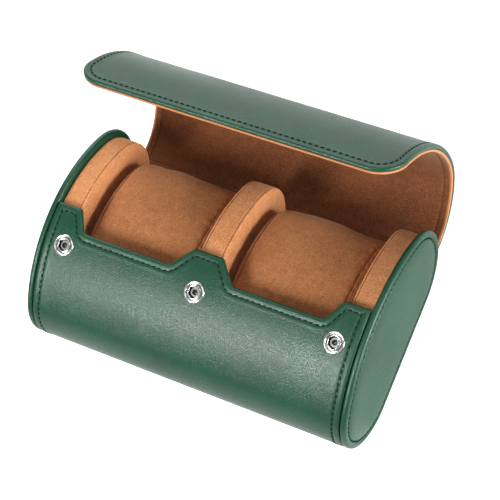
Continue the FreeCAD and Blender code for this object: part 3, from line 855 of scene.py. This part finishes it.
# Pillows: soft rolls with suede drawn round a filling, closed at each end by an oval disc. The
# body is crowned along its length, and the seam round each disc draws it in.
PILLOW_BASE = 3.4 * MM
PILLOW_WAIST = 22.6 * MM
PILLOW_SHOULDER = 18.0 * MM
PILLOW_FULL_INSET = 14.0 * MM
PILLOW_SIDE = [
    (0.0, 14.0, 0.0), (0.0, 14.0, 0.2), (-0.04, 14.0, 0.5), (-0.12, 14.0, 0.8), (-0.22, 14.0),
    (-0.40, 11.0), (-0.75, 8.4), (-1.30, 6.4), (-2.05, 4.9), (-2.90, 3.75), (-3.45, 3.20),
    (-3.90, 3.85), (-4.30, 2.90), (-5.10, 2.10), (-6.80, 1.45), (-10.0, 0.85), (-15.0, 0.40),
    (-22.0, 0.12)]
PILLOW_MIDDLE = (-31.0, 0.0)
PILLOW_SEAM = 3.9 * MM
PILLOW_PUCKER = 0.45 * MM
# The cloth's coarse net, how far a point may move, and the room that is left for it
CLOTH_STEP = 4.5 * MM
CLOTH_COLUMNS = 60
CLOTH_CAP = 0.9 * MM
CLOTH_FRAMES = 20
PRESSURE = 4.0
SHRINK = -0.03
SLACK = 0.6 * MM
FREE_HEIGHT = 4 * MM


def cloth_moves(points, faces, held):
    """How far each point of a closed cover moves when it is blown up as cloth a little too large
    for it, with its seams held: Blender's Cloth for some frames, each move cut to the cap."""
    trial = new_piece("cloth_trial", points, faces)
    group = trial.vertex_groups.new(name="held")
    group.add(held.tolist(), 1.0, "REPLACE")
    cloth = trial.modifiers.new("cloth", "CLOTH")
    cloth.settings.use_pressure = True
    cloth.settings.uniform_pressure_force = PRESSURE
    cloth.settings.vertex_group_mass = "held"
    cloth.settings.effector_weights.gravity = 0.0
    cloth.settings.shrink_min = SHRINK
    cloth.collision_settings.use_collision = False
    for frame_number in range(1, CLOTH_FRAMES + 1):
        bpy.context.scene.frame_set(frame_number)
    graph = bpy.context.evaluated_depsgraph_get()
    moved = np.empty(len(points) * 3)
    trial.evaluated_get(graph).data.vertices.foreach_get("co", moved)
    bpy.context.scene.frame_set(1)
    bpy.data.objects.remove(trial)
    move = moved.reshape(-1, 3) - points
    size = np.linalg.norm(move, axis=1, keepdims=True)
    return move * np.minimum(1.0, CLOTH_CAP / np.maximum(size, 1e-9))


def swell(body, poles):
    """The cover's movement as cloth, found on a coarse net of its rings and spread over the fine
    ones by weights that fall as a bell curve with distance. What lies on the board stays."""
    steps = np.linalg.norm(np.diff(body, axis=0), axis=2).mean(1)
    along = np.concatenate([[0.0], np.cumsum(steps)])
    rows = np.unique(np.searchsorted(along, np.arange(CLOTH_STEP / 2, along[-1], CLOTH_STEP)))
    skip = SECTION_POINTS // CLOTH_COLUMNS
    points, faces = closed_rings(body[rows][:, ::skip], poles)
    ends = np.abs(body[rows, 0, 0] - poles[:, 0].mean())
    seams = np.abs(ends.max() - PILLOW_SEAM - ends) < CLOTH_STEP / 2
    held = np.nonzero(np.repeat(seams, CLOTH_COLUMNS))[0]
    move = cloth_moves(points, faces, held)
    net = move[:-2].reshape(len(rows), CLOTH_COLUMNS, 3)
    down = bell(along[:, None], along[rows][None], CLOTH_STEP)
    turn = np.arange(SECTION_POINTS)[:, None] / skip - np.arange(CLOTH_COLUMNS)[None]
    about = bell((turn + CLOTH_COLUMNS / 2) % CLOTH_COLUMNS - CLOTH_COLUMNS / 2, 0.0, 1.0)
    down /= down.sum(1, keepdims=True)
    about /= about.sum(1, keepdims=True)
    spread_move = np.einsum("ri,cj,ijk->rck", down, about, net)
    free = np.clip((body[..., 2:] - PILLOW_BASE) / FREE_HEIGHT, 0, 1)
    return body + spread_move * free, poles + move[-2:]


pillow_suede = suede_material("pillow_suede", (0.210, 0.074, 0.026), (0.560, 0.235, 0.095))
for side, seed in (("left", 11), ("right", 12)):
    low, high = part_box(side + "_pillow_cover")
    middle = (low.x + high.x) / 2
    half = (high.x - low.x) / 2 - SLACK / 2
    rise = high.z - PILLOW_BASE - PILLOW_WAIST - SLACK
    arcs = oval(high.y - SLACK, PILLOW_WAIST, rise, PILLOW_SHOULDER, PILLOW_BASE)
    profile = both_sides(PILLOW_SIDE, PILLOW_MIDDLE, half)
    ripple = pucker(half - PILLOW_SEAM, PILLOW_PUCKER, seed)
    pillow = rings(side + "_pillow", arcs, profile, PILLOW_FULL_INSET, ripple, middle, swell)
    outfit(pillow, pillow_suede, side + "_pillow", "suede", side + "_pillow_cover",
           side + "_pillow_filling")

# Lid: the same leather, board and suede as the shell, curved to lie over the top of the case. Its
# free corners are cut round, and it is shown swung back about the hinge.
LID_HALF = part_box("lid_cover")[1].x
LID_OPEN = math.radians(66.0)
LID_REACH = math.radians(32.5)
LID_CORNER = 14.0 * MM
LID_CORNER_STEPS = 28
LID_STANDOFF = 2.0 * MM
HINGE = [joint for joint in frame["joints"] if joint["name"] == "lid_hinge"][0]["pos_m"][1:]


def lid_arcs():
    """The run of the closed lid from the hinge, up the back and over the top. The shoulder
    touches the back and the lid's crown, so its radius is (crown squared less half depth squared
    less drop squared) over twice (crown less half depth)."""
    radius = CROWN + LID_STANDOFF + SHEET + LINING
    drop = WAIST - CROWN_Z
    shoulder = (radius**2 - HALF_DEPTH**2 - drop**2) / (2 * (radius - HALF_DEPTH))
    centre = HALF_DEPTH - shoulder
    blend = math.atan2(centre, drop)
    turn = 2 * math.pi
    return [
        (HALF_DEPTH - WAIST, WAIST, WAIST, math.pi + HINGE_ANGLE + HINGE_HALF, 1.5 * math.pi),
        (centre, WAIST, shoulder, 1.5 * math.pi, turn - blend),
        (0.0, CROWN_Z, radius, turn - blend, turn + LID_REACH),
    ]


def swung(points):
    """Points of YZ turned back about the hinge line by the opening angle."""
    c, s = math.cos(-LID_OPEN), math.sin(-LID_OPEN)
    turn = np.array([[c, s], [-s, c]])
    return (points - np.array(HINGE)) @ turn + np.array(HINGE)


LID_ARCS = lid_arcs()
LID_RUN = run_length(LID_ARCS)


def on_lid(x, s, depth):
    """The point at x along the lid: its run at s from the hinge, less the depth times the normal
    there, swung open."""
    point, normal = trace(LID_ARCS, s)
    point = swung(point - np.asarray(depth)[..., None] * normal)
    return np.concatenate([np.asarray(x)[..., None], point], -1)


def lid_pattern(inset):
    """The lid's outline from the hinge round its free edge, with the corners' radii."""
    corners = [(LID_HALF, 0.0), (LID_HALF, LID_RUN), (-LID_HALF, LID_RUN), (-LID_HALF, 0.0)]
    return rounded(shifted(corners, -inset), [LID_CORNER - inset] * 2, LID_CORNER_STEPS)


def lid_sheet(name, inset, depth, thickness, relief=None, under=None):
    """A sheet of the lid with its edge an inset inside the cover's."""
    line = lid_pattern(inset)
    line = line[line[:, 1] > inset]
    half = LID_HALF - inset
    outline = np.concatenate([[(half, inset)], line, [(-half, inset)]])
    fine = half - edge_steps(thickness / 2, END_REACH)
    even = np.arange(0.0, half - END_REACH, COARSE_STEP)
    xs = places_across([line[:, 0], even, -even, fine, -fine])
    order = np.argsort(line[:, 0], kind="stable")
    bottom = np.interp(xs, line[order, 0], line[order, 1])
    bottom[[0, -1]] = LID_RUN - LID_CORNER
    top = np.full(len(xs), inset)
    return panel(name, on_lid, xs, top, bottom, outline, depth, thickness, relief, under)


lid_leather = lid_sheet("lid_leather", 0.0, 0.0, SHEET, leather_relief)
outfit(lid_leather, green_leather, "lid", "cover_leather", "lid_cover")

LID_LINING_INSET = 0.15 * MM
LINING_SEAM_INSET = 4.4 * MM
NAP_START = 35.0 * MM
NAP_RUN = 40.0 * MM
NAP_DEPTH = 0.32 * MM


def lining_relief(distance, s):
    """The lining's free face is its lower one: a channel along the seam with a lip to each side,
    and a deeper nap away from the hinge, where the lid stands off the case."""
    channel = -0.36 * MM * bell(distance, LINING_SEAM_INSET, 0.50 * MM)
    nap = np.clip((s - NAP_START) / NAP_RUN, 0, 1)
    outer_lip = 0.16 * MM * bell(distance, 2.6 * MM, 1.1 * MM)
    inner_lip = 0.10 * MM * bell(distance, 5.9 * MM, 0.9 * MM)
    return channel + nap * (NAP_DEPTH + (outer_lip + inner_lip))


lid_suede = lid_sheet("lid_suede", LID_LINING_INSET, SHEET, LINING, under=lining_relief)
outfit(lid_suede, painted_shade_lining_suede, "lid", "suede", "lid_lining")
tan_thread = thread_material("tan_thread", (0.060, 0.020, 0.007), (0.150, 0.056, 0.020))


INNER_SEAM_DEPTH = SHEET + LINING - 0.30 * MM


def lid_side(outward):
    """The outward or inward normal of the open lid at points on it."""
    ring, out = trace(LID_ARCS, np.linspace(0, LID_RUN, RUN_SAMPLES))
    tip = swung(ring + out)
    ring = swung(ring)
    return lambda points: nearest_normal(points, ring, outward * (tip - ring))


def lid_seam(inset, depth):
    """A seam's line on the lid, which ends a little short of the hinge."""
    line = lid_pattern(inset)
    line[:, 1] = np.maximum(line[:, 1], MM)
    return seam_line(line, on_lid, depth)


stitch_row("lid_stitches", lid_seam(SEAM_INSET, SEAM_DEPTH), lid_side(1.0), green_thread, "lid",
           "cover_leather")
stitch_row("lid_inner_stitches", lid_seam(LINING_SEAM_INSET, INNER_SEAM_DEPTH), lid_side(-1.0),
           tan_thread, "lid", "suede")

# Hinge: the cover leather and the lining run on past the edge of the board as two flexible strips
# between the shell and the lid.
HINGE_COLUMNS = 60
HINGE_ROWS = 24
# Share of its width by which a strip runs on under both edges
HINGE_OVERLAP = 0.12
LEATHER = 1.0 * MM


def hinge_strip(name, node, depth, thickness, material):
    """A strip whose middle line is a parabola between the shell's edge and the lid's, at four
    times share times (one less share) times its rise over the chord. The rise is half the chord
    times the tangent of a quarter of the angle between the two normals. Both faces lie half the
    thickness off that line, and past the edges it runs straight on."""
    start, start_out = trace(SHELL_ARCS, np.array([SHELL_RUN]))
    end, end_out = trace(LID_ARCS, np.array([0.0]))
    a = (start - depth * start_out)[0]
    b = swung(end - depth * end_out)[0]
    tip = (swung(end + end_out) - swung(end))[0]
    share = np.linspace(-HINGE_OVERLAP, 1 + HINGE_OVERLAP, HINGE_ROWS)
    chord = b - a
    bend = 0.5 * math.acos(float(start_out[0] @ tip))
    rise = np.linalg.norm(chord) * math.tan(bend / 2) / 2
    up = np.array([-chord[1], chord[0]]) / np.linalg.norm(chord)
    clipped = np.clip(share, 0, 1)
    line = a + share[:, None] * chord + (4 * clipped * (1 - clipped) * rise)[:, None] * up
    way = np.gradient(line, axis=0)
    way /= np.linalg.norm(way, axis=1)[:, None]
    over = np.stack([-way[:, 1], way[:, 0]], 1)
    xs = np.linspace(-LID_HALF, LID_HALF, HINGE_COLUMNS)
    lower = line - over * thickness / 2
    upper = line + over * thickness / 2
    loop = np.concatenate([lower, upper[::-1]])
    count = len(loop)
    grid = np.concatenate([np.repeat(xs, count)[:, None], np.tile(loop, (len(xs), 1))], 1)
    index = np.arange(len(xs) * count).reshape(len(xs), count)
    pairs = np.arange(HINGE_ROWS - 1)
    near = np.stack([pairs, pairs + 1, count - 2 - pairs, count - 1 - pairs], 1)
    far = near[:, ::-1] + (len(xs) - 1) * count
    strip = new_piece(name, grid, [quad_rows(index), near, far])
    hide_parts(node)
    dress(strip, material)
    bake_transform(strip)


hinge_strip("hinge_leather_strip", "hinge_leather", LEATHER / 2, LEATHER, green_leather)
hinge_strip("hinge_suede_strip", "hinge_lining", SHEET + LINING / 2, LINING, painted_shade_lining_suede)

# Snap fasteners: pressed and nickel-plated steel. Each socket is a dished ring with a rolled rim,
# set in the shell's tab; each stud is a flanged knob that stands out of the lid's lining.
SNAP_SPACING = 72.8 * MM
SNAP_REACH = math.radians(12.8)
# Profiles as (radius, height) in millimetres from the sheet's face
SOCKET_PROFILE = [
    (2.78, -1.90), (3.05, -1.92), (3.07, -0.30), (4.90, -0.28), (5.22, -0.08), (5.25, 0.18),
    (5.06, 0.48), (4.72, 0.62), (4.36, 0.52), (4.10, 0.26), (3.90, 0.08), (3.62, 0.10),
    (3.42, 0.34), (3.22, 0.44), (3.02, 0.34), (2.88, -0.02), (2.82, -0.60), (2.78, -1.30)]
STUD_PROFILE = [
    (0.02, 2.30), (0.55, 2.27), (1.05, 2.14), (1.50, 1.88), (1.76, 1.52), (1.80, 1.30),
    (1.62, 1.12), (1.48, 0.92), (1.52, 0.66), (2.10, 0.56), (3.40, 0.52), (4.20, 0.42),
    (4.52, 0.24), (4.60, 0.04), (4.40, -0.02), (0.02, -0.04)]
HOLE_PROFILE = [(0.001, -2.05), (3.00, -2.05), (3.00, 3.0), (0.001, 3.0)]
TURN_STEPS = 56
PETALS = 6
PETAL_DEPTH = 0.06
LIP_RADIUS = 2.95 * MM
LIP_WIDTH = 0.30 * MM
BARREL_END = -1.2 * MM
# Painted shade at the bottom of each socket's dish: inside this radius, fading out over this
# height up its wall
DISH_SHADE_RADIUS = 4.4 * MM
DISH_SHADE_FADE = 0.34 * MM


def three_turned(name, profile, closed, origins, axis):
    """Copies of a profile turned about an axis, as one piece, smoothed. Near the dish's inner lip
    the radius is drawn in by petals, one plus the cosine of their number times the turn, and the
    bottom of the dish is marked for painted shade."""
    fine = smooth_profile(profile, 3) * MM
    turn = np.linspace(0, 2 * math.pi, TURN_STEPS, endpoint=False)
    side = np.array([1.0, 0.0, 0.0])
    out = np.cos(turn)[:, None] * side + np.sin(turn)[:, None] * np.cross(axis, side)
    lip = bell(fine[:, :1], LIP_RADIUS, LIP_WIDTH) * (fine[:, 1:] > BARREL_END) * closed
    radius = fine[:, :1] * (1 - PETAL_DEPTH * lip * (1 + np.cos(PETALS * turn))[None])
    points = (np.array(origins)[:, None, None] + radius[..., None] * out[None]
              + fine[:, None, 1:] * axis)
    painted_dish_shade = np.clip(0.9 - fine[:, 1] / DISH_SHADE_FADE, 0, 1) * (fine[:, 0] < DISH_SHADE_RADIUS)
    part = new_piece(name, points.reshape(-1, 3), tubes(len(origins), radius.shape, closed))
    mark(part, "painted_dish_shade", np.tile(np.repeat(painted_dish_shade, TURN_STEPS), len(origins)))
    return part


def plated_material():
    """Bright nickel plate with faint handling marks, and painted shade that darkens the bottom of
    the dish.
    """
    material, tree, shader = new_material("nickel_plate", Metallic=1.0)
    grain = place_group(tree, GRAIN, Cells=900.0, Tone_Scale=400.0)
    rough = spread(tree, grain.outputs["Tone"], 0.0, 1.0, 0.14, 0.20)
    tree.links.new(rough, shader.inputs["Roughness"])
    bright = spread(tree, grain.outputs["Tone"], 0.0, 1.0, 0.7, 1.0)
    # Painted shade: the bottom of the dish is darkened towards black
    shade = maths(tree, "MULTIPLY", attribute(tree, "painted_dish_shade"), 0.85)
    bright = maths(tree, "SUBTRACT", bright, shade)
    colour = blend_colours(tree, bright, (0.04, 0.04, 0.04), (0.66, 0.66, 0.65))
    tree.links.new(colour, shader.inputs["Base Color"])
    return material


nickel = plated_material()
SOCKET_PLACES = (-SNAP_SPACING, 0.0, SNAP_SPACING)
socket_axis = np.array([0.0, -math.sin(SNAP_REACH), math.cos(SNAP_REACH)])
socket_place = arc_point((0.0, CROWN_Z, CROWN), SNAP_REACH)
socket_origins = [(x, *socket_place) for x in SOCKET_PLACES]
cutter = three_turned("hole_cutter", HOLE_PROFILE, False, socket_origins, socket_axis)
holes = shell_leather.modifiers.new("holes", "BOOLEAN")
holes.operation = "DIFFERENCE"
holes.object = cutter
bpy.context.view_layer.objects.active = shell_leather
bpy.ops.object.modifier_apply(modifier="holes")
bpy.data.objects.remove(cutter)
sockets = three_turned("socket_rings", SOCKET_PROFILE, True, socket_origins, socket_axis)
outfit(sockets, nickel, "case", "plated_steel", "snap_sockets")

closed_place = arc_point((0.0, CROWN_Z, CROWN + LID_STANDOFF), SNAP_REACH)
stud_place = swung(closed_place)
stud_tip = swung(closed_place + np.array([math.sin(SNAP_REACH), -math.cos(SNAP_REACH)]))
stud_axis = np.array([0.0, *(stud_tip - stud_place)])
stud_origins = [(x, *stud_place) for x in SOCKET_PLACES]
studs = three_turned("lid_studs", STUD_PROFILE, False, stud_origins, stud_axis)
outfit(studs, nickel, "lid", "plated_steel", "snap_studs")
for node in ("socket_rivets", "stud_rivets"):
    dress(frame["nodes"][node], nickel)

# Hidden stiffeners: grey board pressed to the curve of the shell and the lid, and the plates of
# the caps and the divider. They show only in section.


def plain_material(name, dark, light, scale, rough):
    """A dull fibrous material with a speckle of its own colour."""
    material, tree, shader = new_material(name, Roughness=rough)
    speckle = noise(tree, object_place(tree), scale, 3.0)
    tree.links.new(blend_colours(tree, speckle, dark, light), shader.inputs["Base Color"])
    bump(tree, shader, speckle, 0.3, 0.1 * MM)
    return material


grey_board = plain_material("grey_board", (0.22, 0.20, 0.18), (0.36, 0.34, 0.31), 1200.0, 0.85)
BOARDS = ("shell_board", "lid_board", "left_cap_board", "right_cap_board", "divider_board")
for node in BOARDS:
    dress(frame["nodes"][node], grey_board)

# Studio: a white table and room, a key lamp from the front left, a lamp overhead, a broad one
# behind, a low one on the right, and the camera of the photograph.
FLOOR_HALF = 3.0
# Shares of the white table and of the white room that leather and metal mirror.
TABLE_MIRRORED = 0.30
ROOM_MIRRORED = 0.45
ROOM_LIGHT = 0.08
floor_mesh = bpy.data.meshes.new("floor")
corners = [(x * FLOOR_HALF, y * FLOOR_HALF, 0) for x, y in ((-1, -1), (1, -1), (1, 1), (-1, 1))]
floor_mesh.from_pydata(corners, [], [(0, 1, 2, 3)])
floor = bpy.data.objects.new("floor", floor_mesh)
bpy.context.scene.collection.objects.link(floor)
floor_material, floor_tree, floor_shader = new_material(
    "white_table", Roughness=0.9, Specular_IOR_Level=0.1, Base_Color=(0.60, 0.60, 0.60, 1.0),
    Emission_Strength=0.92)


def background_rays(tree, mirrored):
    """One for rays from the camera and through glass, and a share for those that a surface
    mirrors."""
    rays = tree.nodes.new("ShaderNodeLightPath").outputs
    straight = maths(tree, "MAXIMUM", rays["Is Camera Ray"], rays["Is Transmission Ray"])
    share = maths(tree, "MULTIPLY", rays["Is Glossy Ray"], mirrored)
    return maths(tree, "MAXIMUM", straight, share)


glow = blend_colours(floor_tree, background_rays(floor_tree, TABLE_MIRRORED), (0.0, 0.0, 0.0),
                     (1.0, 1.0, 1.0))
floor_tree.links.new(glow, floor_shader.inputs["Emission Color"])
dress(floor, floor_material)


def lamp(name, place, target, wide, high, power):
    """A soft lamp, wide by high, that looks at a point. It is tilted from straight down by the
    angle whose tangent is the level distance over the drop, and then turned about the upright."""
    data = bpy.data.lights.new(name, "AREA")
    data.shape = "RECTANGLE"
    data.size = wide
    data.size_y = high
    data.energy = power
    thing = bpy.data.objects.new(name, data)
    thing.location = place
    way = np.array(target) - np.array(place)
    tilt = math.atan2(math.hypot(way[0], way[1]), -way[2])
    thing.rotation_euler = (tilt, 0.0, math.atan2(way[1], way[0]) - math.pi / 2)
    bpy.context.scene.collection.objects.link(thing)


MIDDLE = (0.0, 0.0, 0.03)
lamp("key", (-0.33, -0.67, 0.82), MIDDLE, 0.22, 0.50, 14.5)
lamp("overhead", (0.25, 0.15, 1.25), MIDDLE, 0.40, 0.40, 3.0)
lamp("back", (-0.45, 1.15, 0.60), MIDDLE, 1.40, 1.00, 15.0)
lamp("right_fill", (0.80, 0.05, 0.18), MIDDLE, 0.40, 0.24, 10.5)

world = bpy.data.worlds.new("studio")
bpy.context.scene.world = world
world.use_nodes = True
sky = world.node_tree
glow = spread(sky, background_rays(sky, ROOM_MIRRORED), 0.0, 1.0, ROOM_LIGHT, 1.0)
sky.links.new(glow, sky.nodes["Background"].inputs["Strength"])
sky.nodes["Background"].inputs["Color"].default_value = (1.0, 1.0, 1.0, 1.0)

LENS = 122.6
SENSOR = 36.0
CAMERA_PLACE = np.array([319.2, -116.6, 779.0]) * MM
CAMERA_RIGHT = np.array([0.8736, 0.38445, -0.29835])
CAMERA_UP = np.array([-0.30106, 0.90865, 0.28935])
camera_data = bpy.data.cameras.new("camera")
camera_data.lens = LENS
camera_data.sensor_width = SENSOR
camera = bpy.data.objects.new("camera", camera_data)
bpy.context.scene.collection.objects.link(camera)
right = CAMERA_RIGHT / np.linalg.norm(CAMERA_RIGHT)
up = CAMERA_UP - right * float(CAMERA_UP @ right)
up /= np.linalg.norm(up)
back = np.cross(right, up)
matrix = np.eye(4)
matrix[:3, :3] = np.stack([right, up, back], 1)
matrix[:3, 3] = CAMERA_PLACE
camera.matrix_world = Matrix(matrix.tolist())
bpy.context.scene.camera = camera
bpy.context.scene.view_settings.view_transform = "Standard"
